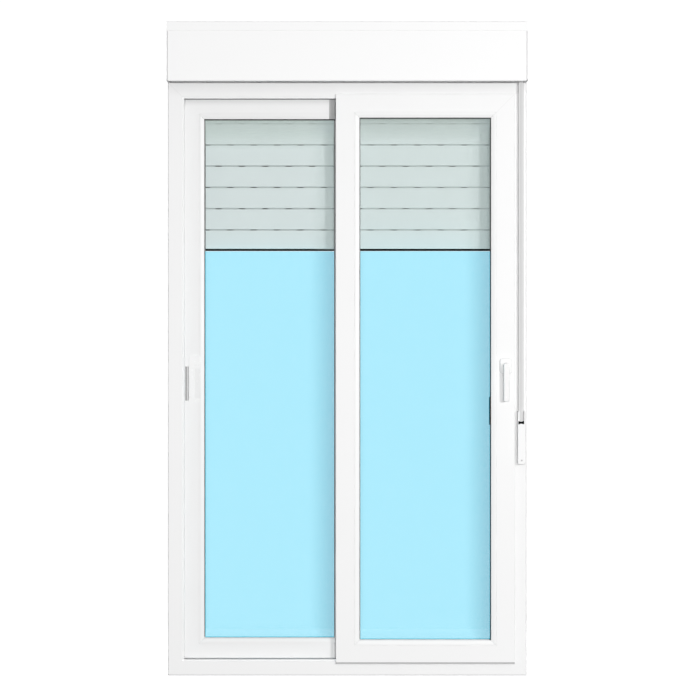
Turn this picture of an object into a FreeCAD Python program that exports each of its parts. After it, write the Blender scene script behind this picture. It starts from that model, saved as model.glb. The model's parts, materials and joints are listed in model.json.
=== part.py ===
import FreeCAD, Part
import os
from types import SimpleNamespace

import Sketcher

os.makedirs("parts", exist_ok=True)
doc = FreeCAD.newDocument("patio_door")
Vector = FreeCAD.Vector

# All sizes, in millimetres. X is to the right, Y is outdoors, Z is up. The origin is under the middle of the sill.
SIZES = {
    # outer frame
    "width": 1200,
    "frame_height": 1985,
    "frame_depth": 60,
    "frame_base": 34,
    "rail_height": 20,
    "rail_thickness": 14,
    "rail_round": 2,
    "frame_round": 1,
    "frame_edge": 4,
    "step_height": 5,
    "step_depth": 3,
    "fixing_radius": 4,
    "fixing_from_sill": 250,
    "fixing_from_head": 235,
    "runner_width": 6,
    "runner_height": 3,
    # sliding sashes
    "sash_depth": 34,
    "sash_edge_gap": 6,
    "sash_face": 62,
    "sash_overlap": 76,
    "sash_round": 1.5,
    "rail_side_gap": 5,
    "lift_space": 8,
    "bead_face": 17,
    "bead_flat": 6,
    "bead_edge": 2,
    "bead_round": 12,
    "bead_seam": 0.8,
    "bead_nose": 1.2,
    "gasket_face": 3,
    "gasket_width": 10,
    "gasket_thickness": 3,
    "glass_thickness": 4,
    "glass_space": 10,
    "glass_edge_gap": 4,
    "spacer_width": 8,
    "mitre_gap": 0.3,
    "roller_radius": 13,
    "roller_width": 8,
    "roller_inset": 90,
    "roller_pin": 3,
    "roller_room": 3,
    "roller_side_gap": 1,
    "roller_clearance": 0.3,
    "seal_width": 12,
    "seal_thickness": 3,
    "seal_inset": 4,
    # lever handle
    "handle_inset": 30,
    "handle_height": 1036,
    "rosette_width": 40,
    "rosette_length": 52,
    "rosette_thickness": 9,
    "rosette_corner": 10,
    "rosette_edge": 2.5,
    "neck_radius": 9,
    "neck_length": 16,
    "grip_width": 19,
    "grip_thickness": 12,
    "grip_below": 118,
    "grip_above": 10,
    "grip_top_corner": 9,
    "grip_low_corner": 5,
    "grip_edge": 3,
    "turn_gap": 0.3,
    # flush pull of the rear sash
    "pull_edge": 14,
    "pull_width": 52,
    "pull_length": 158,
    "pull_height": 993,
    "pull_plate": 1.5,
    "pull_raise": 3.5,
    "pull_corner": 13,
    "pull_low_corner": 4,
    "pull_rim": 2,
    "pull_head": 33,
    "pull_edge_round": 1,
    "mouth_width": 12,
    "lip_width": 18,
    "lip_length": 142,
    "lip_thickness": 4.5,
    "tray_depth": 4,
    "cup_length": 117,
    "cup_drop": 16.5,
    "cup_depth": 14,
    "cup_wall": 1.5,
    # shutter box
    "box_height": 195,
    "box_front": 88,
    "box_back": 97,
    "box_wall": 8,
    "box_end": 3,
    "box_band": 31,
    "box_round": 3,
    "cover_return": 22,
    "box_recess": 14,
    "cover_side_gap": 1,
    "cover_setback": 1,
    "cover_drop": 3,
    "axle_radius": 30,
    "axle_fit": 2.7,
    "axle_drop": 111,
    "axle_shift": 8,
    # shutter curtain and its guides
    "curtain_offset": 61,
    "curtain_end_gap": 10,
    "slat_pitch": 72,
    "slat_thickness": 14,
    "slat_bow": 3,
    "slat_corner": 1.5,
    "skirt_thickness": 1.4,
    "skirt_gap": 0.6,
    "curtain_rise": 5,
    "neck_height": 4,
    "neck_thickness": 2.4,
    "hook_rise": 2,
    "hook_width": 6,
    "hook_height": 4,
    "socket_gap": 1.2,
    "socket_lip": 1.6,
    "vent_length": 21,
    "vent_height": 3,
    "vent_margin": 15,
    "bottom_bar_height": 66,
    "bottom_seal_height": 7,
    "bottom_seal_inset": 2,
    "guide_face": 54,
    "guide_foot": 32,
    "guide_start": 46,
    "guide_end": 76,
    "guide_side_gap": 1,
    "guide_root": 20,
    "guide_round": 1.5,
    "slot_clearance": 4,
    # strap and winder
    "strap_width": 17,
    "strap_thickness": 1.6,
    "strap_inset": 20,
    "strap_clearance": 1.5,
    "pulley_hub": 36,
    "pulley_flange": 58,
    "pulley_flange_thickness": 1.2,
    "winder_width": 26,
    "winder_inset": 18.5,
    "winder_top": 886,
    "winder_length": 178,
    "winder_plate": 4,
    "winder_depth": 24,
    "winder_corner": 5,
    "winder_edge": 2,
    "channel_width": 16.5,
    "channel_length": 36,
    "channel_side_gap": 1.5,
    "lip_space": 1.4,
    "winder_slot_depth": 56,
    "brush_width": 19,
    "brush_height": 11,
    "brush_waist": 6,
    "brush_proud": 0.5,
    "screw_radius": 3,
    "screw_depth": 2,
    "screw_height": 13,
}


class Size:
    """A length with its number and the sheet formula that gives it."""

    def __init__(self, number, formula):
        self.number = number
        self.formula = formula

    def __add__(self, other):
        other = as_size(other)
        return Size(self.number + other.number, f"({self.formula} + {other.formula})")

    def __sub__(self, other):
        other = as_size(other)
        return Size(self.number - other.number, f"({self.formula} - {other.formula})")

    def __mul__(self, other):
        other = as_size(other)
        return Size(self.number * other.number, f"({self.formula} * {other.formula})")

    def __truediv__(self, other):
        other = as_size(other)
        return Size(self.number / other.number, f"({self.formula} / {other.formula})")

    def __neg__(self):
        return Size(-self.number, f"(0 - {self.formula})")

    __radd__ = __add__

    def __rsub__(self, other):
        return as_size(other) - self

    def __rmul__(self, other):
        return self * other


def as_size(value):
    if isinstance(value, Size):
        return value
    return Size(value, f"{value}")


def make_sheet():
    sheet = doc.addObject("Spreadsheet::Sheet", "sizes")
    for row, (name, value) in enumerate(SIZES.items(), start=1):
        sheet.set(f"A{row}", name)
        sheet.set(f"B{row}", f"{value}")
        sheet.setAlias(f"B{row}", name)
    doc.recompute()
    return SimpleNamespace(**{name: Size(value, f"sizes.{name}") for name, value in SIZES.items()})


s = make_sheet()
NODES = []
CLOSE = 0.01


def node(thing, name):
    thing.Label = name
    NODES.append(thing)
    return thing


def place(thing, x=0, y=0, z=0, turn=0):
    """Put a piece at a point, turned about the Y axis."""
    thing.Placement = FreeCAD.Placement(Vector(), FreeCAD.Rotation(Vector(0, 1, 0), turn))
    for axis, value in (("x", x), ("y", y), ("z", z)):
        thing.setExpression(f"Placement.Base.{axis}", as_size(value).formula)


def new_body(name):
    return doc.addObject("PartDesign::Body", name)


def new_sketch(body, plane, lift=None):
    """A sketch on one of the body's own planes, moved along the plane's normal by lift."""
    sketch = body.newObject("Sketcher::SketchObject", f"{body.Name}_sketch")
    support = [item for item in body.Origin.OriginFeatures if item.Role == f"{plane}_Plane"][0]
    sketch.AttachmentSupport = (support, [""])
    sketch.MapMode = "FlatFace"
    if lift is not None:
        sketch.setExpression("AttachmentOffset.Base.z", as_size(lift).formula)
    return sketch


def bind(sketch, kind, *target):
    value = as_size(target[-1])
    index = sketch.addConstraint(Sketcher.Constraint(kind, *target[:-1], value.number))
    sketch.setExpression(f"Constraints[{index}]", value.formula)


def outline(sketch, corners):
    """A closed outline through the corners, each held by its own two sizes."""
    corners = [(as_size(x), as_size(y)) for x, y in corners]
    points = [Vector(x.number, y.number, 0) for x, y in corners]
    first = sketch.GeometryCount
    count = len(points)
    for i in range(count):
        sketch.addGeometry(Part.LineSegment(points[i], points[(i + 1) % count]), False)
    for i in range(count):
        sketch.addConstraint(Sketcher.Constraint("Coincident", first + i, 2, first + (i + 1) % count, 1))
    for i in range(count):
        bind(sketch, "DistanceX", -1, 1, first + i, 1, corners[i][0])
        bind(sketch, "DistanceY", -1, 1, first + i, 1, corners[i][1])


def span(sketch, x_range, y_range):
    """A rectangle between two limits on each axis."""
    (x0, x1), (y0, y1) = x_range, y_range
    outline(sketch, [(x0, y0), (x1, y0), (x1, y1), (x0, y1)])


def rectangle(sketch, x, y, width, height):
    """A rectangle by its middle and its size."""
    span(sketch, (as_size(x) - width / 2, as_size(x) + width / 2), (as_size(y) - height / 2, as_size(y) + height / 2))


def circle(sketch, x, y, radius):
    x, y, radius = as_size(x), as_size(y), as_size(radius)
    index = sketch.addGeometry(Part.Circle(Vector(x.number, y.number, 0), Vector(0, 0, 1), radius.number), False)
    bind(sketch, "DistanceX", -1, 1, index, 3, x)
    bind(sketch, "DistanceY", -1, 1, index, 3, y)
    bind(sketch, "Radius", index, radius)


def extrude(body, sketch, length=None, cut=False, middle=False, back=False):
    """A pad or a pocket. A pocket without a length goes through all."""
    feature = body.newObject("PartDesign::Pocket" if cut else "PartDesign::Pad", f"{body.Name}_step")
    feature.Profile = sketch
    if middle:
        feature.SideType = "Symmetric"
    feature.Reversed = back
    if length is None:
        feature.Type = "ThroughAll"
    else:
        feature.setExpression("Length", as_size(length).formula)
    sketch.Visibility = False
    return feature


def along(axis, *spots):
    """Picks the straight edges that run along an axis through spots on the other two axes."""
    others = [name for name in "xyz" if name != axis]

    def pick(edge):
        ends = [vertex.Point for vertex in edge.Vertexes]
        for spot in spots:
            target = [as_size(value).number for value in spot]
            if all(abs(getattr(end, o) - t) < CLOSE for end in ends for o, t in zip(others, target)):
                return True
        return False

    return pick


def on_plane(axis, value):
    """Picks the edges that lie on a plane across an axis."""
    level = as_size(value).number

    def pick(edge):
        return all(abs(getattr(edge.valueAt(t), axis) - level) < CLOSE for t in edge.ParameterRange)

    return pick


def soften(body, radius, pick):
    """Round the picked edges."""
    doc.recompute()
    base = body.Tip
    edges = [f"Edge{i}" for i, edge in enumerate(base.Shape.Edges, start=1) if pick(edge)]
    feature = body.newObject("PartDesign::Fillet", f"{body.Name}_round")
    feature.Base = (base, edges)
    feature.setExpression("Radius", as_size(radius).formula)
    body.Tip = feature


def bar(name, section, length, rounds=()):
    """A straight profile along X with its section given as corners in Y and Z, some of them rounded."""
    body = new_body(name)
    sketch = new_sketch(body, "YZ")
    outline(sketch, section)
    extrude(body, sketch, length, middle=True)
    for radius, spots in rounds:
        soften(body, radius, along("x", *spots))
    return body


def mitred_bar(name, section, length, face, rounds=()):
    """A profile along X whose ends are cut at 45 degrees, so that its inner side is shorter."""
    body = bar(name, section, length, rounds)
    sketch = new_sketch(body, "XZ")
    for side in (-1, 1):
        end = length / 2 * side
        outline(sketch, [(end, 0), (end, face), (end - face * side, face)])
    extrude(body, sketch, cut=True, middle=True)
    return body


def block(name, x_range, y_range, z_range):
    """A rectangular piece between two limits on each axis."""
    body = new_body(name)
    sketch = new_sketch(body, "XY", z_range[0])
    span(sketch, x_range, y_range)
    extrude(body, sketch, as_size(z_range[1]) - z_range[0])
    return body


def compound(name, pieces):
    group = doc.addObject("Part::Compound", name)
    group.Links = pieces
    return group


# Outer frame: four mitred profiles with two track rails on the inside
half_width = s.width / 2
half_depth = s.frame_depth / 2
rail_top = s.frame_base + s.rail_height
rail_inner = half_depth - s.rail_thickness
track = half_depth - s.rail_thickness / 2

step_face = s.step_depth - half_depth
step_low = rail_top - s.step_height

FRAME_SECTION = [
    (-half_depth, 0),
    (half_depth, 0),
    (half_depth, rail_top),
    (rail_inner, rail_top),
    (rail_inner, s.frame_base),
    (-rail_inner, s.frame_base),
    (-rail_inner, rail_top),
    (step_face, rail_top),
    (step_face, step_low),
    (-half_depth, step_low),
]
FRAME_ROUNDS = [
    (s.rail_round, [(y, rail_top) for y in (-rail_inner, rail_inner, half_depth)]),
    (s.frame_round, [(half_depth, 0), (-half_depth, step_low), (step_face, rail_top)]),
    (s.frame_edge, [(-half_depth, 0)]),
]
FRAME_SIDES = {
    "frame_sill": (s.width, 0, 0, 0),
    "frame_head": (s.width, 0, s.frame_height, 180),
    "frame_left_jamb": (s.frame_height, -half_width, s.frame_height / 2, 90),
    "frame_right_jamb": (s.frame_height, half_width, s.frame_height / 2, -90),
}
fixing_span = s.frame_height - s.fixing_from_sill - s.fixing_from_head
for name, (length, x, z, turn) in FRAME_SIDES.items():
    member = mitred_bar(name, FRAME_SECTION, length, rail_top, FRAME_ROUNDS)
    if "jamb" in name:
        holes = new_sketch(member, "XY")
        side = 1 if turn > 0 else -1
        for third in range(4):
            height = s.fixing_from_sill + fixing_span * third / 3
            circle(holes, (s.frame_height / 2 - height) * side, 0, s.fixing_radius)
        extrude(member, holes, s.frame_base, cut=True, back=True)
    place(member, x, 0, z, turn)
    node(member, name)

# Aluminium runners on the sill's two rails
RUNNER_SECTION = [
    (-s.runner_width / 2, rail_top),
    (s.runner_width / 2, rail_top),
    (s.runner_width / 2, rail_top + s.runner_height / 2),
    (s.runner_width / 4, rail_top + s.runner_height),
    (-s.runner_width / 4, rail_top + s.runner_height),
    (-s.runner_width / 2, rail_top + s.runner_height / 2),
]
for name, side in (("front_runner", -1), ("rear_runner", 1)):
    runner = bar(name, RUNNER_SECTION, s.width - rail_top * 2)
    place(runner, 0, track * side, 0)
    node(runner, name)

# Sliding sashes: mitred profiles that reach over the rails, beads, gaskets and double glazing
sash_low = s.frame_base + s.sash_edge_gap
sash_width = half_width - sash_low + s.sash_overlap / 2
sash_height = s.frame_height - sash_low * 2
sash_shift = half_width - sash_low - sash_width / 2
sash_half_depth = s.sash_depth / 2
groove_half = s.rail_thickness / 2 + s.rail_side_gap
groove_depth = s.rail_height - s.sash_edge_gap + s.lift_space
glass_half = s.glass_thickness + s.glass_space / 2
seat = glass_half + s.gasket_thickness
bead_end = s.sash_face + s.bead_face
sight = bead_end + s.gasket_face

SASH_SECTION = [
    (-sash_half_depth, 0),
    (-groove_half, 0),
    (-groove_half, groove_depth),
    (groove_half, groove_depth),
    (groove_half, 0),
    (sash_half_depth, 0),
    (sash_half_depth, bead_end),
    (seat, bead_end),
    (seat, s.sash_face),
    (-sash_half_depth, s.sash_face),
]
SASH_ROUNDS = [
    (s.sash_round, [(-sash_half_depth, 0), (sash_half_depth, 0), (sash_half_depth, bead_end)]),
    (s.bead_seam, [(-sash_half_depth, s.sash_face)]),
]
BEAD_SECTION = [
    (-sash_half_depth, 0),
    (-seat, 0),
    (-seat, s.bead_face),
    (-seat - s.bead_edge, s.bead_face),
    (-sash_half_depth, s.bead_flat),
]
BEAD_ROUNDS = [
    (s.bead_seam, [(-sash_half_depth, 0)]),
    (s.bead_round, [(-sash_half_depth, s.bead_flat)]),
    (s.bead_nose, [(-seat - s.bead_edge, s.bead_face)]),
]
roller_centre = rail_top + s.runner_height + s.roller_clearance + s.roller_radius - sash_low


def four_sides(width, height, inset):
    """Length, place and turn of the bottom, top, left and right bar of a rectangle, pushed in by inset."""
    return {
        "bottom_rail": (width - inset * 2, 0, inset, 0),
        "top_rail": (width - inset * 2, 0, height - inset, 180),
        "left_stile": (height - inset * 2, inset - width / 2, height / 2, 90),
        "right_stile": (height - inset * 2, width / 2 - inset, height / 2, -90),
    }


def ring(name, inset, thickness, width, near):
    """A flat rectangular ring, its outer edge pushed in by inset, its near face at the given depth."""
    body = new_body(name)
    sketch = new_sketch(body, "XZ", -as_size(near))
    rectangle(sketch, 0, sash_height / 2, sash_width - inset * 2, sash_height - inset * 2)
    inner = inset + width
    rectangle(sketch, 0, sash_height / 2, sash_width - inner * 2, sash_height - inner * 2)
    extrude(body, sketch, thickness, back=True)
    return body


def roller_pockets(rail):
    """Two slots in the floor of the bottom rail's groove, one round each roller."""
    sketch = new_sketch(rail, "XZ")
    half_length = s.roller_radius + s.roller_room
    top = roller_centre + s.roller_radius + s.roller_room
    for side in (-1, 1):
        x = (sash_width / 2 - s.roller_inset) * side
        span(sketch, (x - half_length, x + half_length), (0, top))
    extrude(rail, sketch, s.roller_width + s.roller_side_gap * 2, cut=True, middle=True)


def pull_recess(stile):
    """The hole for the flush pull: a shallow tray at the edge and a deep cup beside it."""
    low_end = sash_low + sash_height / 2 - s.pull_height + s.cup_drop
    for near, far, depth in ((s.pull_edge, lip_left, s.tray_depth), (cup_left, lip_right, s.cup_depth)):
        sketch = new_sketch(stile, "XZ", sash_half_depth)
        rectangle(sketch, low_end, (near + far) / 2, s.cup_length, far - near)
        extrude(stile, sketch, depth, cut=True)


def make_sash(which, side, depth):
    """All pieces of one sash. Side is -1 for the left half and 1 for the right half."""
    x = sash_shift * side
    for part, (length, dx, dz, turn) in four_sides(sash_width, sash_height, as_size(0)).items():
        name = f"{which}_sash_{part}"
        member = mitred_bar(name, SASH_SECTION, length, bead_end, SASH_ROUNDS)
        if part == "bottom_rail":
            roller_pockets(member)
        if which == "rear" and part == "left_stile":
            pull_recess(member)
        place(member, dx + x, depth, dz + sash_low, turn)
        node(member, name)

    beads = []
    for part, (length, dx, dz, turn) in four_sides(sash_width, sash_height, s.sash_face).items():
        name = f"{which}_bead_{part}"
        bead = mitred_bar(name, BEAD_SECTION, length - s.mitre_gap * 2, s.bead_face, BEAD_ROUNDS)
        place(bead, dx, 0, dz, turn)
        beads.append(bead)
    group = compound(f"{which}_glazing_beads", beads)
    place(group, x, depth, sash_low)
    node(group, f"{which}_glazing_beads")

    inset = sight - s.gasket_width
    gaskets = [
        ring(f"{which}_room_gasket", inset, s.gasket_thickness, s.gasket_width, -seat),
        ring(f"{which}_outside_gasket", inset, s.gasket_thickness, s.gasket_width, glass_half),
    ]
    group = compound(f"{which}_glass_gaskets", gaskets)
    place(group, x, depth, sash_low)
    node(group, f"{which}_glass_gaskets")

    glass_inset = s.sash_face + s.glass_edge_gap
    for pane, near in (("room", -glass_half), ("outside", s.glass_space / 2)):
        name = f"{which}_{pane}_glass"
        glass = new_body(name)
        sketch = new_sketch(glass, "XZ", -as_size(near))
        rectangle(sketch, 0, sash_height / 2, sash_width - glass_inset * 2, sash_height - glass_inset * 2)
        extrude(glass, sketch, s.glass_thickness, back=True)
        place(glass, x, depth, sash_low)
        node(glass, name)
    spacer = ring(f"{which}_glass_spacer", glass_inset, s.glass_space, s.spacer_width, -s.glass_space / 2)
    place(spacer, x, depth, sash_low)
    node(spacer, f"{which}_glass_spacer")

    for end, end_side in (("left", -1), ("right", 1)):
        name = f"{which}_{end}_roller"
        roller = new_body(name)
        for radius, width in ((s.roller_radius, s.roller_width), (s.roller_pin, s.roller_width + s.roller_side_gap * 2)):
            sketch = new_sketch(roller, "XZ")
            circle(sketch, 0, 0, radius)
            extrude(roller, sketch, width, middle=True)
        place(roller, x + (sash_width / 2 - s.roller_inset) * end_side, depth, sash_low + roller_centre)
        node(roller, name)

    name = f"{which}_meeting_seal"
    middle = (s.sash_overlap / 2 - s.seal_inset - s.seal_width / 2) * -side
    face = depth + sash_half_depth * side
    seal = block(
        name,
        (middle - s.seal_width / 2, middle + s.seal_width / 2),
        (face, face + s.seal_thickness * side),
        (sash_low + s.sash_face, sash_low + sash_height - s.sash_face),
    )
    node(seal, name)


# Flush pull of the rear sash: a tray and a cup behind a lip, low enough for the front sash to pass
tray_left = s.pull_edge + s.pull_rim
lip_left = tray_left + s.mouth_width
lip_right = lip_left + s.lip_width
cup_left = lip_left - s.tray_depth
pull_right = s.pull_edge + s.pull_width

make_sash("front", 1, -track)
make_sash("rear", -1, track)

rear_pull = new_body("rear_pull")
sketch = new_sketch(rear_pull, "XZ")
pull_top = s.pull_length / 2
cup_top = s.cup_length / 2 - s.cup_drop
cup_low = -s.cup_drop - s.cup_length / 2
span(sketch, (lip_left, pull_right), (-pull_top, pull_top))
extrude(rear_pull, sketch, s.pull_plate)
sketch = new_sketch(rear_pull, "XZ")
span(sketch, (s.pull_edge, lip_left), (cup_low - s.pull_rim, cup_top + s.pull_rim))
extrude(rear_pull, sketch, s.pull_plate)
for x_range, z_range in (
    ((lip_left, lip_right), (pull_top - s.lip_length, pull_top)),
    ((lip_left, pull_right), (pull_top - s.pull_head, pull_top)),
):
    sketch = new_sketch(rear_pull, "XZ")
    span(sketch, x_range, z_range)
    extrude(rear_pull, sketch, s.pull_raise)
soften(rear_pull, s.pull_corner, along("y", (lip_left, pull_top), (pull_right, pull_top)))
soften(rear_pull, s.pull_low_corner, along("y", (pull_right, -pull_top)))
soften(rear_pull, s.pull_edge_round, on_plane("y", -s.pull_raise))
for x_range, depth in (((s.pull_edge, lip_left), s.tray_depth), ((cup_left, lip_right), s.cup_depth)):
    sketch = new_sketch(rear_pull, "XZ")
    span(sketch, x_range, (cup_low, cup_top))
    extrude(rear_pull, sketch, depth, back=True)
hollow = new_sketch(rear_pull, "XY", -s.cup_drop)
outline(hollow, [
    (tray_left, -s.pull_raise * 2),
    (lip_left, -s.pull_raise * 2),
    (lip_left, s.lip_thickness - s.pull_raise),
    (lip_right - s.cup_wall, s.lip_thickness - s.pull_raise),
    (lip_right - s.cup_wall, s.cup_depth - s.cup_wall),
    (cup_left + s.cup_wall, s.cup_depth - s.cup_wall),
    (cup_left + s.cup_wall, s.tray_depth - s.cup_wall),
    (tray_left, s.tray_depth - s.cup_wall),
])
extrude(rear_pull, hollow, s.cup_length - s.cup_wall * 2, cut=True, middle=True)
place(rear_pull, sash_low - half_width, track - sash_half_depth, s.pull_height)
node(rear_pull, "rear_pull")

# Lever handle on the front sash
handle_x = half_width - sash_low - s.handle_inset
handle_face = -track - sash_half_depth

rosette = new_body("handle_rosette")
sketch = new_sketch(rosette, "XZ")
rectangle(sketch, 0, 0, s.rosette_width, s.rosette_length)
extrude(rosette, sketch, s.rosette_thickness)
half_rosette = (s.rosette_width / 2, s.rosette_length / 2)
soften(rosette, s.rosette_corner, along("y", *[
    (half_rosette[0] * i, half_rosette[1] * k) for i in (-1, 1) for k in (-1, 1)
]))
soften(rosette, s.rosette_edge, on_plane("y", -s.rosette_thickness))
place(rosette, handle_x, handle_face, s.handle_height)
node(rosette, "handle_rosette")

lever = new_body("handle_lever")
sketch = new_sketch(lever, "XZ", s.neck_length)
half_grip = s.grip_width / 2
span(sketch, (-half_grip, half_grip), (-s.grip_below, s.grip_above))
extrude(lever, sketch, s.grip_thickness)
soften(lever, s.grip_top_corner, along("y", (-half_grip, s.grip_above), (half_grip, s.grip_above)))
soften(lever, s.grip_low_corner, along("y", (-half_grip, -s.grip_below), (half_grip, -s.grip_below)))
soften(lever, s.grip_edge, on_plane("y", -s.neck_length - s.grip_thickness))
sketch = new_sketch(lever, "XZ", s.turn_gap)
circle(sketch, 0, 0, s.neck_radius)
extrude(lever, sketch, s.neck_length - s.turn_gap)
place(lever, handle_x, handle_face - s.rosette_thickness, s.handle_height)
node(lever, "handle_lever")

# Shutter box
box_low = s.frame_height
box_top = s.frame_height + s.box_height
box_length = s.width - s.box_end * 2
front = -s.box_front
back = s.box_back
cover_front = front + s.cover_setback
cover_inner = front + s.box_wall
cover_back = front + s.cover_return
cover_low = box_low - s.cover_drop
recess_top = box_low + s.box_recess
recess_back = s.box_wall - half_depth

top_panel = bar("box_top_panel", [
    (front, box_top),
    (front, box_top - s.box_band),
    (cover_inner, box_top - s.box_band),
    (cover_inner, box_top - s.box_wall),
    (back, box_top - s.box_wall),
    (back, box_top),
], box_length, [(s.box_round, [(front, box_top)]), (s.frame_round, [(front, box_top - s.box_band)])])
node(top_panel, "box_top_panel")

front_cover = bar("box_front_cover", [
    (cover_front, box_top - s.box_band),
    (cover_front, cover_low),
    (cover_back, cover_low),
    (cover_back, recess_top),
    (cover_back - s.box_wall, recess_top),
    (cover_back - s.box_wall, cover_low + s.box_wall),
    (cover_inner, cover_low + s.box_wall),
    (cover_inner, box_top - s.box_band),
], box_length - s.cover_side_gap * 2, [(s.box_round, [(cover_front, cover_low)])])
node(front_cover, "box_front_cover")

back_panel = bar("box_back_panel", [
    (back - s.box_wall, box_low + s.box_wall),
    (back, box_low + s.box_wall),
    (back, box_top - s.box_wall),
    (back - s.box_wall, box_top - s.box_wall),
], box_length)
node(back_panel, "box_back_panel")

strap_x = half_width - s.strap_inset
axle_z = box_top - s.axle_drop
axle_y = -s.axle_shift
strap_y = axle_y - s.pulley_hub - s.strap_thickness / 2
curtain_half = half_width - s.guide_root - s.curtain_end_gap
slat_half = s.slat_thickness / 2
guide_groove = s.slat_thickness + s.guide_side_gap * 2

floor_panel = bar("box_floor_panel", [
    (cover_back - s.box_wall, recess_top),
    (-half_depth, recess_top),
    (-half_depth, box_low),
    (back, box_low),
    (back, box_low + s.box_wall),
    (recess_back, box_low + s.box_wall),
    (recess_back, recess_top + s.box_wall),
    (cover_back - s.box_wall, recess_top + s.box_wall),
], box_length)
slots = new_sketch(floor_panel, "XY", recess_top + s.box_wall)
room = s.slot_clearance * 2
rectangle(slots, 0, s.curtain_offset, curtain_half * 2 + room, s.slat_thickness + room)
room = s.strap_clearance * 2
rectangle(slots, strap_x, strap_y, s.strap_width + room, s.strap_thickness + room)
extrude(floor_panel, slots, s.box_recess + s.box_wall, cut=True)
node(floor_panel, "box_floor_panel")

for name, side in (("box_left_end", -1), ("box_right_end", 1)):
    cap = bar(
        name,
        [(front, box_low), (back, box_low), (back, box_top), (front, box_top)],
        s.box_end,
        [(s.box_round, [(front, box_low), (front, box_top)])],
    )
    place(cap, (half_width - s.box_end / 2) * side, 0, 0)
    node(cap, name)

# Axle, rolled curtain and strap pulley inside the box
axle_flat = s.axle_radius * 0.414
AXLE_SECTION = [
    (s.axle_radius, -axle_flat),
    (s.axle_radius, axle_flat),
    (axle_flat, s.axle_radius),
    (-axle_flat, s.axle_radius),
    (-s.axle_radius, axle_flat),
    (-s.axle_radius, -axle_flat),
    (-axle_flat, -s.axle_radius),
    (axle_flat, -s.axle_radius),
]
axle = bar("shutter_axle", AXLE_SECTION, box_length)
place(axle, 0, axle_y, axle_z)
node(axle, "shutter_axle")

bore = s.axle_radius + s.axle_fit


def drum(body, radius, length, lift=None, back=False):
    """A round piece with the axle's bore, along X."""
    sketch = new_sketch(body, "YZ", lift)
    circle(sketch, 0, 0, radius)
    circle(sketch, 0, 0, bore)
    extrude(body, sketch, length, middle=lift is None, back=back)


roll = new_body("shutter_roll")
drum(roll, s.curtain_offset - slat_half - axle_y, curtain_half * 2)
place(roll, 0, axle_y, axle_z)
node(roll, "shutter_roll")

pulley = new_body("strap_pulley")
drum(pulley, s.pulley_hub, s.strap_width)
for side in (-1, 1):
    drum(pulley, s.pulley_flange, s.pulley_flange_thickness, s.strap_width / 2 * side, back=side < 0)
place(pulley, strap_x, axle_y, axle_z)
node(pulley, "strap_pulley")

# Shutter guides outside the frame
groove_start = s.curtain_offset - guide_groove / 2
groove_end = s.curtain_offset + guide_groove / 2
GUIDE_SECTION = [
    (0, half_depth),
    (s.guide_foot, half_depth),
    (s.guide_foot, s.guide_start),
    (s.guide_face, s.guide_start),
    (s.guide_face, groove_start),
    (s.guide_root, groove_start),
    (s.guide_root, groove_end),
    (s.guide_face, groove_end),
    (s.guide_face, s.guide_end),
    (0, s.guide_end),
]
GUIDE_ROUNDS = [(s.guide_face, s.guide_start), (s.guide_face, s.guide_end), (0, s.guide_end)]
for name, side in (("left_shutter_guide", -1), ("right_shutter_guide", 1)):
    guide = new_body(name)
    sketch = new_sketch(guide, "XY")
    outline(sketch, [((half_width - inward) * side, y) for inward, y in GUIDE_SECTION])
    extrude(guide, sketch, s.frame_height)
    soften(guide, s.guide_round, along("z", *[((half_width - inward) * side, y) for inward, y in GUIDE_ROUNDS]))
    node(guide, name)

# Shutter curtain: each slat's neck has a row of vent slots and hooks into the slat above, whose skirt covers it outside
SLAT_COUNT = 8
VENT_COUNT = 14
vent_pitch = (curtain_half - s.vent_margin) * 2 / VENT_COUNT
neck_half = s.neck_thickness / 2
hook_half = s.hook_width / 2
mouth_half = neck_half + s.socket_gap / 2
socket_half = hook_half + s.socket_gap
socket_top = s.hook_rise + s.hook_height + s.socket_gap


def neck_corners(shell_top):
    """The thin neck on a slat's top edge, with the hook at its end."""
    low = shell_top + s.neck_height + s.hook_rise
    high = low + s.hook_height
    return [
        (neck_half, shell_top),
        (neck_half, low),
        (hook_half, low),
        (hook_half, high),
        (-hook_half, high),
        (-hook_half, low),
        (-neck_half, low),
        (-neck_half, shell_top),
    ]


def vent_row(body, shell_top, shifted):
    """A row of slots through the neck, moved by half a pitch on every other slat."""
    count = VENT_COUNT if shifted else VENT_COUNT - 1
    sketch = new_sketch(body, "XZ")
    first = vent_pitch * (1 - count) / 2
    rectangle(sketch, first, shell_top + s.neck_height / 2, s.vent_length, s.vent_height)
    slot = extrude(body, sketch, s.slat_thickness, cut=True, middle=True)
    row = body.newObject("PartDesign::LinearPattern", f"{body.Name}_row")
    row.Originals = [slot]
    row.Direction = (sketch, ["H_Axis"])
    row.Mode = "Spacing"
    row.setExpression("Offset", vent_pitch.formula)
    row.Occurrences = count
    body.Tip = row


shell_top = s.slat_pitch - s.neck_height
skirt_outer = slat_half - s.slat_bow
skirt_inner = skirt_outer - s.skirt_thickness
skirt_low = s.skirt_gap - s.neck_height
SLAT_SECTION = [
    (mouth_half, 0),
    (skirt_inner, 0),
    (skirt_inner, skirt_low),
    (skirt_outer, skirt_low),
    (slat_half - s.slat_bow / 4, s.slat_pitch / 5),
    (slat_half, s.slat_pitch / 2),
    (slat_half - s.slat_bow / 4, s.slat_pitch - s.slat_pitch / 4),
    (slat_half - s.slat_bow, shell_top),
    *neck_corners(shell_top),
    (-slat_half, shell_top),
    (-slat_half, 0),
    (-mouth_half, 0),
    (-mouth_half, s.socket_lip),
    (-socket_half, s.socket_lip),
    (-socket_half, socket_top),
    (socket_half, socket_top),
    (socket_half, s.socket_lip),
    (mouth_half, s.socket_lip),
]
SLAT_ROUNDS = [(s.slat_corner, [(-slat_half, 0), (-slat_half, shell_top)])]
curtain_low = axle_z + s.curtain_rise - s.slat_pitch * SLAT_COUNT
slats = []
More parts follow.
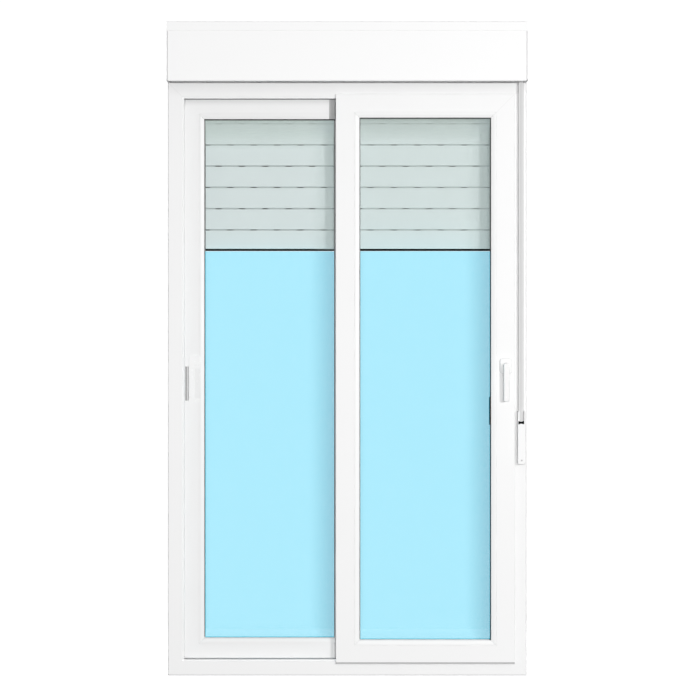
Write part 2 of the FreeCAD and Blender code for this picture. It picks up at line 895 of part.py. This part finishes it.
for number in range(SLAT_COUNT):
    slat = bar(f"slat_{number + 1}", SLAT_SECTION, curtain_half * 2, SLAT_ROUNDS)
    vent_row(slat, shell_top, number % 2 == 0)
    place(slat, 0, 0, s.slat_pitch * number)
    slats.append(slat)
curtain = compound("shutter_slats", slats)
place(curtain, 0, s.curtain_offset, curtain_low)
node(curtain, "shutter_slats")

bar_shell = s.bottom_bar_height - s.neck_height
bottom_bar = bar("shutter_bottom_bar", [
    (-slat_half, 0),
    (slat_half, 0),
    (slat_half, bar_shell - s.slat_bow),
    (slat_half - s.slat_bow, bar_shell),
    *neck_corners(bar_shell),
    (-slat_half, bar_shell),
], curtain_half * 2, [(s.slat_corner, [(-slat_half, bar_shell), (slat_half, 0), (-slat_half, 0)])])
vent_row(bottom_bar, bar_shell, False)
place(bottom_bar, 0, s.curtain_offset, curtain_low - s.bottom_bar_height)
node(bottom_bar, "shutter_bottom_bar")

seal_half = slat_half - s.bottom_seal_inset
bottom_seal = bar("shutter_bottom_seal", [
    (-seal_half, -s.bottom_seal_height),
    (seal_half, -s.bottom_seal_height),
    (seal_half, 0),
    (-seal_half, 0),
], curtain_half * 2)
place(bottom_seal, 0, s.curtain_offset, curtain_low - s.bottom_bar_height)
node(bottom_seal, "shutter_bottom_seal")

# Lift strap and its winder on the right jamb
winder_x = half_width - s.winder_inset
winder_low = s.winder_top - s.winder_length
plate_face = half_depth + s.winder_plate
cover_face = plate_face + s.winder_depth
strap_near = s.strap_thickness / 2 - strap_y
channel_low = s.winder_top - s.channel_length
winder_half = s.winder_width / 2

strap = block(
    "lift_strap",
    (strap_x - s.strap_width / 2, strap_x + s.strap_width / 2),
    (strap_y - s.strap_thickness / 2, strap_y + s.strap_thickness / 2),
    (s.winder_top - s.winder_slot_depth, axle_z),
)
node(strap, "lift_strap")


def winder_block(name, face, depth):
    """A plate with the winder's outline, its corners rounded, standing on a face towards the room."""
    body = new_body(name)
    sketch = new_sketch(body, "XZ", face)
    span(sketch, (winder_x - winder_half, winder_x + winder_half), (winder_low, s.winder_top))
    extrude(body, sketch, depth)
    soften(body, s.winder_corner, along("y", *[
        (winder_x + winder_half * i, z) for i in (-1, 1) for z in (winder_low, s.winder_top)
    ]))
    return body


node(winder_block("winder_base", half_depth, s.winder_plate), "winder_base")

winder_cover = winder_block("winder_cover", plate_face, s.winder_depth)
soften(winder_cover, s.winder_edge, on_plane("y", -cover_face))
sketch = new_sketch(winder_cover, "XZ", cover_face)
channel_right = strap_x + s.strap_width / 2 + s.channel_side_gap
span(sketch, (channel_right - s.channel_width, channel_right), (channel_low, s.winder_top))
extrude(winder_cover, sketch, cover_face - strap_near - s.lip_space, cut=True)
sketch = new_sketch(winder_cover, "XY", s.winder_top)
strap_room = s.strap_clearance * 2
rectangle(sketch, strap_x, strap_y, s.strap_width + strap_room, s.strap_thickness + strap_room)
extrude(winder_cover, sketch, s.winder_slot_depth, cut=True)


def brush_outline(sketch):
    """Two lips that meet in a narrow waist, across the foot of the channel."""
    half_brush = s.brush_width / 2
    middle = channel_low - s.brush_waist / 2
    outline(sketch, [
        (strap_x - half_brush, middle - s.brush_height / 2),
        (strap_x, middle - s.brush_waist / 2),
        (strap_x + half_brush, middle - s.brush_height / 2),
        (strap_x + half_brush, middle + s.brush_height / 2),
        (strap_x, middle + s.brush_waist / 2),
        (strap_x - half_brush, middle + s.brush_height / 2),
    ])


brush_depth = cover_face - strap_near - s.lip_space
sketch = new_sketch(winder_cover, "XZ", cover_face)
brush_outline(sketch)
extrude(winder_cover, sketch, brush_depth, cut=True)
sketch = new_sketch(winder_cover, "XZ", cover_face)
circle(sketch, winder_x, winder_low + s.screw_height, s.screw_radius)
extrude(winder_cover, sketch, s.screw_depth, cut=True)
node(winder_cover, "winder_cover")

winder_brush = new_body("winder_brush")
sketch = new_sketch(winder_brush, "XZ", cover_face + s.brush_proud)
brush_outline(sketch)
extrude(winder_brush, sketch, brush_depth + s.brush_proud, back=True)
node(winder_brush, "winder_brush")

winder_screw = new_body("winder_screw")
sketch = new_sketch(winder_screw, "XZ", cover_face - s.screw_depth)
circle(sketch, winder_x, winder_low + s.screw_height, s.screw_radius)
extrude(winder_screw, sketch, s.screw_depth / 2)
sketch = new_sketch(winder_screw, "XZ", cover_face - s.screw_depth / 2)
rectangle(sketch, winder_x, winder_low + s.screw_height, s.screw_radius * 1.4, s.screw_radius / 4)
extrude(winder_screw, sketch, s.screw_depth / 4, cut=True)
node(winder_screw, "winder_screw")

# Check every piece and write it out
doc.recompute()
for item in doc.Objects:
    if "Invalid" in item.State or "Error" in item.State:
        raise RuntimeError(f"{item.Label} has state {item.State}")
for piece in NODES:
    if piece.Shape.isNull() or not piece.Shape.isValid():
        raise RuntimeError(f"{piece.Label} has no valid shape")
    piece.Shape.exportStep(f"parts/{piece.Label}.step")
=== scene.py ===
import json
import math

import bpy
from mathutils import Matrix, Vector


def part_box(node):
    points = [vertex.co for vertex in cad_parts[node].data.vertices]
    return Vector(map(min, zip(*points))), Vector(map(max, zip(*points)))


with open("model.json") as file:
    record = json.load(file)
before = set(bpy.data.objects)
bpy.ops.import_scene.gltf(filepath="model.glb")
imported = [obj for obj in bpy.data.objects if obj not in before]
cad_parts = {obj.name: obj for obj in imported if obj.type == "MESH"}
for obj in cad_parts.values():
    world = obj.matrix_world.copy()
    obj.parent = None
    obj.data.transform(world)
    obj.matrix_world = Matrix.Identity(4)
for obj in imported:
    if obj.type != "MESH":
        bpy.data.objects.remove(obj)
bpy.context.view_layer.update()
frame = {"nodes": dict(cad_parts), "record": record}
nodes = frame["nodes"]


class Wire:
    """A shader socket that takes part in arithmetic."""

    def __init__(self, graph, socket):
        self.graph = graph
        self.socket = socket

    def math(self, operation, *others):
        return self.graph.add("ShaderNodeMath", {"operation": operation}, [self, *others])

    def __add__(self, other):
        return self.math("ADD", other)

    def __sub__(self, other):
        return self.math("SUBTRACT", other)

    def __mul__(self, other):
        return self.math("MULTIPLY", other)

    def __neg__(self):
        return self.math("MULTIPLY", -1.0)

    def __radd__(self, other):
        return self + other

    def __rsub__(self, other):
        return -self + other

    def __rmul__(self, other):
        return self * other

    def __abs__(self):
        return self.math("ABSOLUTE")

    def most(self, other):
        return self.math("MAXIMUM", other)

    def wrap(self, period):
        """Where the value is in its period, from 0 to the period."""
        return self.math("FLOORED_MODULO", period)

    def rise(self, start, end):
        """0 at the start, 1 at the end, smooth between. The start may be the greater of the two."""
        settings = {"interpolation_type": "SMOOTHSTEP"}
        inputs = {"Value": self, "From Min": start, "From Max": end}
        return self.graph.add("ShaderNodeMapRange", settings, inputs)

    def above(self, place, soft=0.001):
        """0 below a place, 1 above it."""
        return self.rise(place - soft, place + soft)

    def inside(self, low, high, soft=0.0004):
        """1 between low and high, 0 outside."""
        return self.rise(low - soft, low + soft) * self.rise(high + soft, high - soft)

    def at(self, place, reach=0.001):
        """1 within the reach of a place, 0 further off."""
        return self.inside(place - reach, place + reach)


class Graph:
    """The nodes of a material or a world."""

    def __init__(self, owner):
        owner.use_nodes = True
        self.tree = owner.node_tree

    def put(self, socket, value):
        """Links a wire to a socket, or sets the socket to a plain value."""
        if isinstance(value, Wire):
            self.tree.links.new(value.socket, socket)
        else:
            socket.default_value = value

    def add(self, kind, settings, inputs, output=0):
        """A node of any kind: its type, its settings, then its socket values and links."""
        made = self.tree.nodes.new(kind)
        for name, value in settings.items():
            setattr(made, name, value)
        pairs = inputs.items() if isinstance(inputs, dict) else enumerate(inputs)
        for name, value in pairs:
            self.put(made.inputs[name], value)
        return Wire(self, made.outputs[output])

    def mix(self, factor, first, second):
        """A colour between two colours."""
        return self.add("ShaderNodeMix", {"data_type": "RGBA"}, {0: factor, 6: first, 7: second}, 2)


class Finish(Graph):
    """A material with one glossy or matt surface."""

    def __init__(self, name, **surface):
        self.material = bpy.data.materials.new(name)
        super().__init__(self.material)
        self.surface = self.tree.nodes["Principled BSDF"]
        for socket, value in surface.items():
            self.feed(socket.replace("_", " ").title().replace("Ior", "IOR"), value)
        self.place = self.add("ShaderNodeTexCoord", {}, {}, "Object")

    def feed(self, socket, value):
        self.put(self.surface.inputs[socket], value)

    def axes(self):
        """X, Y and Z of the shaded point, in metres."""
        split = self.add("ShaderNodeSeparateXYZ", {}, [self.place])
        return [Wire(self, split.socket.node.outputs[i]) for i in range(3)]

    def noise(self, scale, stretch=(1, 1, 1)):
        """Soft random spots, from 0 to 1. The scale is in spots per metre."""
        where = self.add("ShaderNodeMapping", {}, {"Vector": self.place, "Scale": stretch})
        return self.add("ShaderNodeTexNoise", {}, {"Vector": where, "Scale": scale, "Detail": 2.0})

    def mottle(self, scale, first, second):
        """Two colours in soft random spots."""
        return self.mix(self.noise(scale), first, second)

    def polish(self, scale, smooth, spread):
        """Roughness from a smooth value up by a spread, in soft random spots."""
        self.feed("Roughness", smooth + self.noise(scale) * spread)

    def bump(self, height, distance, strength):
        inputs = {"Height": height, "Distance": distance, "Strength": strength}
        self.feed("Normal", self.add("ShaderNodeBump", {}, inputs))


def grey(value, tint=(1, 1, 1)):
    return (value * tint[0], value * tint[1], value * tint[2], 1)


BLACK = grey(0.0)
PLASTIC_IOR = 1.5

# Faces, edges and bar widths of the frame and the sashes, in metres
FRAME_FACE = -0.030
FRAME_REACH = 0.600
FRAME_TOP = 1.985
FRAME_BAR = 0.052
FRONT_FACE = -0.040
REAR_FACE = 0.006
SASH_REACH = 0.560
SASH_TOP = 1.945
SASH_BAR = 0.060

# Painted shade on the white profiles, and the dark weld lines at the top corners: where each lies or
# grows, in metres, and how dark it is
BOX_SHADE_Z, BOX_SHADE = (1.930, FRAME_TOP), 0.08
HEAD_SHADE_Z, HEAD_SHADE = (1.907, 1.934), 0.17
CORNER_X, CORNER_Z, CORNER_SHADE = (-0.5468, -0.5438), (1.895, 1.930), 0.25
FOOT_Z, FOOT_SHADE = (0.0405, 0.0465), 0.42
OUTDOOR_Y, OUTDOOR_SHADE = (0.0, 0.004), 0.05
WELD_WIDTH, WELD_SHADE = 0.0012, 0.10

# The brighter box, the painted shadow of the front sash on the rear sash, and the painted shade in the
# hollows under the box and above that sash
BOX_Y = (-0.075, -0.080)
FRONT_SASH_SHADOW_X, FRONT_SASH_SHADOW_Y, FRONT_SASH_SHADOW_Z = (-0.0612, 0.0), (REAR_FACE - 0.001, REAR_FACE + 0.006), (1.862, 1.944)
RECESS_Y, RECESS_Z = (-0.068, FRAME_FACE + 0.001), (FRAME_TOP + 0.0004, 2.002)
RECESS_END = (0.5965, 0.5960)
HEAD_GAP_Z = (1.9312, 1.9320)


def weld(x, z, corner_x, corner_z, side, bar):
    """A fine line down the mitre of a top corner."""
    across = (x - corner_x) * side
    down = corner_z - z
    return abs(across - down).rise(WELD_WIDTH, WELD_WIDTH * 0.4) * down.inside(0.002, bar)


def white_pvc():
    """Satin white, with painted shade where profiles meet and fine lines along the welded corners."""
    finish = Finish("white_pvc", ior=PLASTIC_IOR)
    x, y, z = finish.axes()
    white = finish.mottle(3.0, grey(0.80), grey(0.82))
    white = finish.mix(y.rise(*BOX_Y), white, grey(0.84))

    on_frame = y.at(FRAME_FACE)
    on_front = y.at(FRONT_FACE, 0.0015)
    on_rear = y.at(REAR_FACE)
    below_top = z.rise(SASH_TOP + 0.002, SASH_TOP + 0.001)
    # Painted shade under the box, under the head rail, in the rear sash's top corner, under the front
    # sash's foot and on the parts behind the front sash; the weld lines are the mitres' own dark joints
    below_box = on_frame * z.rise(*BOX_SHADE_Z) * z.rise(FRAME_TOP + 0.001, FRAME_TOP)
    below_head = on_rear * z.rise(*HEAD_SHADE_Z) * below_top
    corner = on_rear * x.inside(*CORNER_X) * z.rise(*CORNER_Z) * below_top
    foot = on_front * z.inside(*FOOT_Z)
    outdoors = y.rise(*OUTDOOR_Y)
    welds = on_frame * weld(x, z, -FRAME_REACH, FRAME_TOP, 1, FRAME_BAR)
    welds = welds + on_frame * weld(x, z, FRAME_REACH, FRAME_TOP, -1, FRAME_BAR)
    welds = welds + on_front * weld(x, z, SASH_REACH, SASH_TOP, -1, SASH_BAR)
    shade = below_box * BOX_SHADE + below_head * HEAD_SHADE + corner * CORNER_SHADE
    shade = shade + foot * FOOT_SHADE + outdoors * OUTDOOR_SHADE + welds * WELD_SHADE
    white = finish.mix(shade, white, BLACK)

    # Painted shadow of the front sash's edge on the rear sash's top rail, in grey
    front_sash_shadow = x.inside(*FRONT_SASH_SHADOW_X) * y.inside(*FRONT_SASH_SHADOW_Y) * z.inside(*FRONT_SASH_SHADOW_Z)
    white = finish.mix(front_sash_shadow, white, grey(0.42))
    # Painted shade, nearly black, in the recess under the box and in the gap above the rear sash's top
    # rail
    recess_shade = abs(x).rise(*RECESS_END) * y.inside(*RECESS_Y) * z.inside(*RECESS_Z)
    head_gap_shade = on_rear * z.rise(*HEAD_GAP_Z) * below_top
    finish.feed("Base Color", finish.mix(recess_shade.most(head_gap_shade), white, grey(0.1)))
    finish.polish(40.0, 0.34, 0.12)
    finish.bump(finish.noise(900.0), 0.0002, 0.25)
    return finish.material


# The rear sash's pull, in metres: its tray with the two steps of its painted shade and the painted light
# at its right side, and where the painted shade on its plate fades in
TRAY_X, TRAY_EDGE = (-0.5445, -0.5325), 0.0005
TRAY_LOW, TRAY_HIGH = (0.9185, 0.9195), (1.0345, 1.0335)
TRAY_STEP = (TRAY_X[0] + 0.0040, TRAY_X[0] + 0.0060)
TRAY_SIDE = (TRAY_X[1] - 0.0033, TRAY_X[1] - 0.0025)
PLATE_LEFT, PLATE_RIGHT = (-0.5135, -0.5115), (-0.488, -0.496)
PLATE_LOW, PLATE_HIGH = (0.924, 0.930), (1.034, 1.022)


def enamel_white():
    """Glossy white, with painted shade in the pull's tray and on its plate, a little darker than its
    head.
    """
    finish = Finish("enamel_white", coat_weight=0.3, coat_roughness=0.1)
    x, y, z = finish.axes()
    tray = x.inside(*TRAY_X, TRAY_EDGE) * z.rise(*TRAY_LOW) * z.rise(*TRAY_HIGH)
    plate_shade = x.rise(*PLATE_LEFT) * x.rise(*PLATE_RIGHT) * z.rise(*PLATE_LOW) * z.rise(*PLATE_HIGH)
    white = finish.mottle(30.0, grey(0.80), grey(0.83))
    # Painted shade on the plate below the pull's head
    white = finish.mix(plate_shade, white, grey(0.76))
    # Painted shade in the tray, darker at its left, and painted light along its right side where the
    # lip's shadow falls
    tray_shade = finish.mix(x.rise(*TRAY_STEP), grey(0.33), grey(0.56))
    tray_shade = finish.mix(x.rise(*TRAY_SIDE), tray_shade, grey(0.80))
    finish.feed("Base Color", finish.mix(tray, white, tray_shade))
    finish.polish(120.0, 0.22, 0.08)
    finish.bump(finish.noise(500.0), 0.0001, 0.2)
    return finish.material


# The curtain's lower end, its slats, and the necks and vent slots between them, in metres
CURTAIN_LOW = 1.498
SLAT_PITCH = 0.072
NECK_Z, NECK_Y = (0.0680, 0.0718), (0.0585, 0.0612)
VENT_FRONT, VENT_BACK = (0.0626, 0.0629), (0.0650, 0.0647)
COOL = (0.9, 1, 1)


def shutter_pvc():
    """Cool white, with painted shade on the necks between the slats and in the unlit hollow behind the
    vent slots.
    """
    finish = Finish("shutter_pvc", ior=PLASTIC_IOR)
    x, y, z = finish.axes()
    shell = finish.mottle(6.0, grey(0.635, COOL), grey(0.665, COOL))
    # Painted shade on the necks between the slats
    neck_shade = (z - CURTAIN_LOW).wrap(SLAT_PITCH).inside(*NECK_Z) * y.inside(*NECK_Y)
    shell = finish.mix(neck_shade, shell, grey(0.42, COOL))
    # Painted shade, nearly black, on the hollow behind the vent slots
    hollow_shade = y.rise(*VENT_FRONT) * y.rise(*VENT_BACK)
    finish.feed("Base Color", finish.mix(hollow_shade, shell, grey(0.05)))
    finish.polish(60.0, 0.4, 0.1)
    finish.bump(finish.noise(500.0, stretch=(0.02, 1, 1)), 0.0002, 0.3)
    return finish.material


def moulded_rubber(finish, colour):
    """Gives a finish its colour, and the dull, fine grain of moulded rubber."""
    finish.feed("Base Color", colour)
    finish.polish(200.0, 0.6, 0.15)
    finish.bump(finish.noise(900.0), 0.0002, 0.3)
    return finish.material


def rubber(name, value, sheen):
    finish = Finish(name, specular_ior_level=sheen)
    return moulded_rubber(finish, finish.mottle(80.0, grey(value * 0.85), grey(value * 1.15)))


GASKET_FACE = 0.012
GASKET_BLEND = 0.001


def gasket(node):
    """Grey rubber with painted light and shade: dark along the top, middling up the sides and pale along
    the bottom.
    """
    low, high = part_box(node)
    finish = Finish(f"gasket_{node}")
    x, y, z = finish.axes()
    bottom, right, top = low.z + GASKET_FACE, high.x - GASKET_FACE, high.z - GASKET_FACE
    # Painted light along the bottom, painted shade up the sides, down the front glass's right side and
    # darkest along the top
    shade = finish.mix(z.rise(bottom, bottom + GASKET_BLEND), grey(0.52), grey(0.2))
    if node.startswith("front"):
        shade = finish.mix(x.rise(right - GASKET_BLEND, right), shade, grey(0.05))
    shade = finish.mix(z.rise(top - GASKET_BLEND, top), shade, grey(0.03))
    return moulded_rubber(finish, shade)


def metal(name, value, smooth):
    """Bare metal with fine drawn streaks along its length."""
    finish = Finish(name, metallic=1.0)
    streak = finish.noise(400.0, stretch=(0.01, 1, 1))
    finish.feed("Base Color", finish.mix(streak, grey(value * 0.9), grey(value)))
    finish.feed("Roughness", smooth + streak * 0.15)
    finish.bump(streak, 0.0001, 0.3)
    return finish.material


def nylon():
    finish = Finish("nylon")
    finish.feed("Base Color", finish.mottle(50.0, grey(0.6), grey(0.68)))
    finish.polish(90.0, 0.5, 0.1)
    return finish.material


WEAVE = 2600.0


def webbing():
    """Woven strap, with a darker stripe along its middle and along each edge."""
    finish = Finish("webbing")
    x, y, z = finish.axes()
    low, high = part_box("lift_strap")
    half = (high.x - low.x) / 2
    across = abs(x - (low.x + high.x) / 2)
    stripe = across.rise(half * 0.68, half * 0.8).most(across.rise(half * 0.22, half * 0.12))
    weave = (x * WEAVE).math("SINE") * (z * WEAVE).math("SINE")
    base = finish.mix(stripe, grey(0.72), grey(0.50))
    finish.feed("Base Color", finish.mix(weave * 0.25 + 0.25, base, grey(0.6)))
    finish.feed("Roughness", 0.8 + weave * 0.05)
    finish.bump(weave, 0.0004, 0.5)
    return finish.material


# Glass colours, a painted glow: lit and with painted shade against the open air, then lit and with
# painted shade in front of the shutter
OPEN_AIR_GLOW = (0.0, 0.70, 0.95, 1)
OPEN_AIR_SHADE_GLOW = (0.0, 0.42, 0.60, 1)
SHUTTER_GLOW = (0.43, 0.50, 0.47, 1)
SHADE = (0.35, 0.42, 0.41, 1)

# How much the glass covers against the open air, and how much more where painted shade darkens it there
OPEN_COVER = 0.2
OPEN_SHADED = 0.063

# How much it covers in front of the shutter, and how much more for painted shade at its right edge there
# and at its top
HAZE = {"front": 0.07, "rear": 0.025}
RIGHT_SHADE_COVER = 0.1
TOP_SHADE_COVER_Z, TOP_SHADE_COVER = (1.74, 1.86), 0.27

# Heights where the curtain's lower end and the top of its seal stand behind the glass
CURTAIN_EDGE = {"front": 1.4202, "rear": 1.4222}
SEAL_TOP = 1.428

# The glass's rim that the gasket hides, and how far painted shade reaches in from there
SIGHT = 0.016
RIGHT_REACH, RIGHT_PAST = 0.095, 0.005
LEFT_REACH, LEFT_SHADE = 0.02, 0.2
LOW_REACH, LOW_SHADE = 0.05, 0.25

# A black strip at the front glass's right edge
BLACK_STRIP_X = (0.4755, 0.4795)
BLACK_STRIP_Z = (0.839, 0.932)


def glass(node):
    """Double glazing in painted glow: pale blue where it stands against the open air, clearer in front of
    the shutter.
    """
    low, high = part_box(node)
    sash = node.split("_")[0]
    finish = Finish(f"glass_{node}", ior=1.45, emission_strength=1.0)
    x, y, z = finish.axes()
    shutter = z.above(CURTAIN_EDGE[sash])
    rim_left, rim_right, rim_low = low.x + SIGHT, high.x - SIGHT, low.z + SIGHT
    # Painted shade along the glass's right, left and bottom edges
    right = x.rise(rim_right - RIGHT_REACH, rim_right + RIGHT_PAST)
    left = x.rise(rim_left + LEFT_REACH, rim_left) * LEFT_SHADE
    foot = z.rise(rim_low + LOW_REACH, rim_low) * LOW_SHADE
    shade = right.most(left).most(foot)
    black_strip = x.inside(*BLACK_STRIP_X) * z.inside(*BLACK_STRIP_Z)

    # Painted glow, lit and with painted shade, against the open air and in front of the shutter
    open_air = finish.mix(shade, OPEN_AIR_GLOW, OPEN_AIR_SHADE_GLOW)
    closed = finish.mix(right, SHUTTER_GLOW, SHADE)
    seen = finish.mix(shutter, open_air, closed)
    in_open = OPEN_COVER + shade * OPEN_SHADED
    # Painted shade over the shutter at the right edge and at the top, by covering more of it
    haze_and_shade = z.above(SEAL_TOP) * (right * RIGHT_SHADE_COVER + HAZE[sash])
    in_closed = haze_and_shade.most(z.rise(*TOP_SHADE_COVER_Z) * TOP_SHADE_COVER)
    finish.feed("Base Color", BLACK)
    finish.feed("Emission Color", finish.mix(black_strip, seen, BLACK))
    finish.feed("Alpha", (in_open * (1.0 - shutter) + in_closed * shutter).most(black_strip))
    finish.polish(3.0, 0.03, 0.03)
    return finish.material


def dress(name, material):
    """Gives a CAD node one material all over."""
    slots = nodes[name].data.materials
    for index in range(len(slots)):
        slots[index] = material
    if not len(slots):
        slots.append(material)


FINISHES = {
    "white_pvc": white_pvc(),
    "shutter_pvc": shutter_pvc(),
    "grey_gasket": rubber("seal_grey", 0.32, 0.5),
    "dark_rubber": rubber("rubber_dark", 0.006, 0.1),
    "aluminium": metal("aluminium_mill", 0.75, 0.3),
    "steel": metal("steel_zinc", 0.6, 0.35),
    "nylon": nylon(),
    "white_enamel": enamel_white(),
    "strap_webbing": webbing(),
}
for part in frame["record"]["subparts"]:
    name, slot = part["node"], part["material_slot"]
    dress(name, glass(name) if slot == "glass" else FINISHES[slot])
    nodes[name].visible_shadow = slot != "glass"
for name in ("front_glass_gaskets", "rear_glass_gaskets"):
    dress(name, gasket(name))

# Floor, light and camera
FLOOR_REACH = 1.1
PAPER_WHITE = 1.05
LAMP_AIM = Vector((0, 0, 1.1))
LAMP_DISTANCE = 9.0
LAMPS = {
    # power in watts, the way that the light goes, width in metres, and whether gloss shows the lamp
    "key": (262, (-0.4, 1.0, -0.1), 0.9, True),
    "fill": (560, (-0.05, 1.0, 0.0), 1.6, False),
    "back_left": (330, (0.8, -0.6, -0.2), 3.0, False),
    "back_right": (330, (-0.8, -0.6, -0.2), 3.0, False),
}
LIGHT_ABOVE = 0.3
LIGHT_BELOW = 0.02
HORIZON = 0.25
EYE = (0.0027, -6.822, 1.096)


def show(name, data):
    """Puts an object of this data in the scene."""
    made = bpy.data.objects.new(name, data)
    bpy.context.scene.collection.objects.link(made)
    return made


def floor():
    """A plain white floor that glows and throws no light back up."""
    mesh = bpy.data.meshes.new("floor")
    corners = [(FLOOR_REACH * i, FLOOR_REACH * j, 0) for i, j in ((-1, -1), (1, -1), (1, 1), (-1, 1))]
    mesh.from_pydata(corners, [], [(0, 1, 2, 3)])
    glow = {"emission_color": grey(1.0), "emission_strength": PAPER_WHITE}
    finish = Finish("floor_white", roughness=0.9, **glow)
    finish.feed("Base Color", finish.mottle(0.5, grey(0.10), grey(0.12)))
    mesh.materials.append(finish.material)
    plane = show("floor", mesh)
    plane.visible_diffuse = False
    plane.visible_glossy = False


def softbox(name, power, towards, width, glossy):
    """A square lamp that shines on the middle of the door."""
    light = bpy.data.lights.new(name, "AREA")
    light.energy = power
    light.size = width
    lamp = show(name, light)
    lamp.location = LAMP_AIM - Vector(towards).normalized() * LAMP_DISTANCE
    lamp.rotation_euler = Vector(towards).to_track_quat("-Z", "Y").to_euler()
    lamp.visible_glossy = glossy


def surroundings():
    """Soft light, stronger from above than from below, seen as plain white."""
    world = bpy.data.worlds.new("studio")
    graph = Graph(world)
    sky = graph.add("ShaderNodeTexCoord", {}, {}, "Generated")
    height = graph.add("ShaderNodeSeparateXYZ", {}, [sky], "Z")
    span = {"From Min": -HORIZON, "From Max": HORIZON, "To Min": LIGHT_BELOW, "To Max": LIGHT_ABOVE}
    light = graph.add("ShaderNodeMapRange", {}, {"Value": height, **span})
    looked_at = graph.add("ShaderNodeLightPath", {}, {}, "Is Camera Ray")
    span = {"To Min": light, "To Max": PAPER_WHITE}
    strength = graph.add("ShaderNodeMapRange", {}, {"Value": looked_at, **span})
    background = graph.tree.nodes["Background"].inputs
    graph.put(background["Color"], grey(1.0))
    graph.put(background["Strength"], strength)
    bpy.context.scene.world = world


def camera():
    """The photo's view, straight on from half the door's height."""
    data = bpy.data.cameras.new("photo")
    data.lens = 105
    data.sensor_width = 36
    eye = show("photo", data)
    eye.location = EYE
    eye.rotation_euler = (math.radians(90), 0, 0)
    bpy.context.scene.camera = eye


floor()
for name, settings in LAMPS.items():
    softbox(name, *settings)
surroundings()
camera()
bpy.context.scene.view_settings.view_transform = "Standard"
